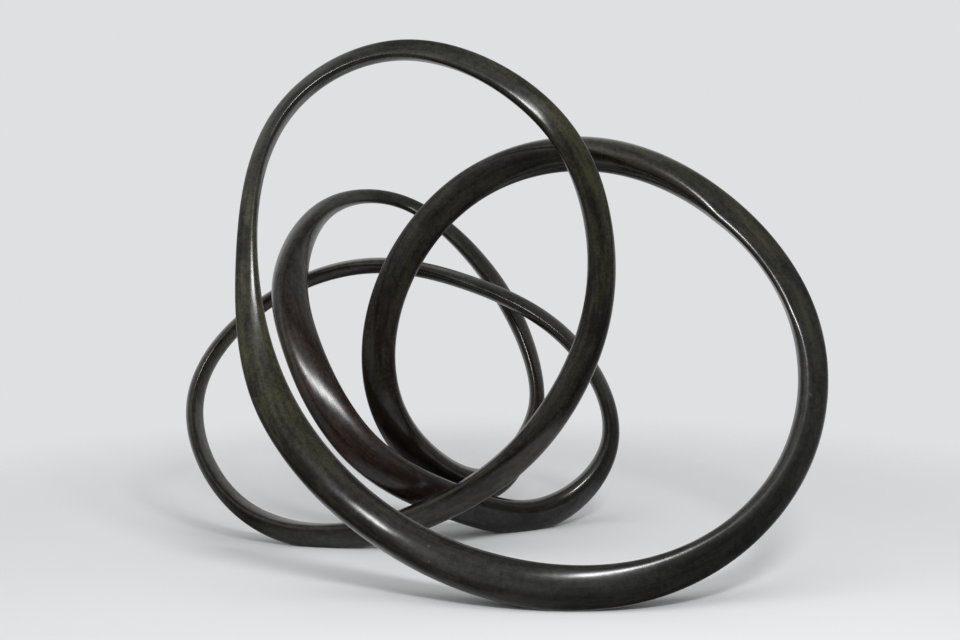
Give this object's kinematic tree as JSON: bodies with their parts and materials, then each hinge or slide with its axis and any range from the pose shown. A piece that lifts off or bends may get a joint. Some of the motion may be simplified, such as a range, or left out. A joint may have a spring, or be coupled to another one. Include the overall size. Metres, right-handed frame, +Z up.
{
  "type": "abstract metal sculpture",
  "caption": "Endless cast bronze band with softly ridged sides, winding through leaning rings and loops and closing on itself; stands on flats under its lowest sweeps.",
  "frame": {"origin": "on the standing surface, under the middle of the sculpture's box", "axes": "+Z up, +X to the right as seen from the front, +Y from the front to the back"},
  "size_m": [0.7234, 0.5154, 0.568],
  "materials": {
    "bronze_patina": "dark brown-green patina under polished wax"
  },
  "bodies": {
    "root": {"looped_band": "bronze_patina"}
  },
  "joints": []
}
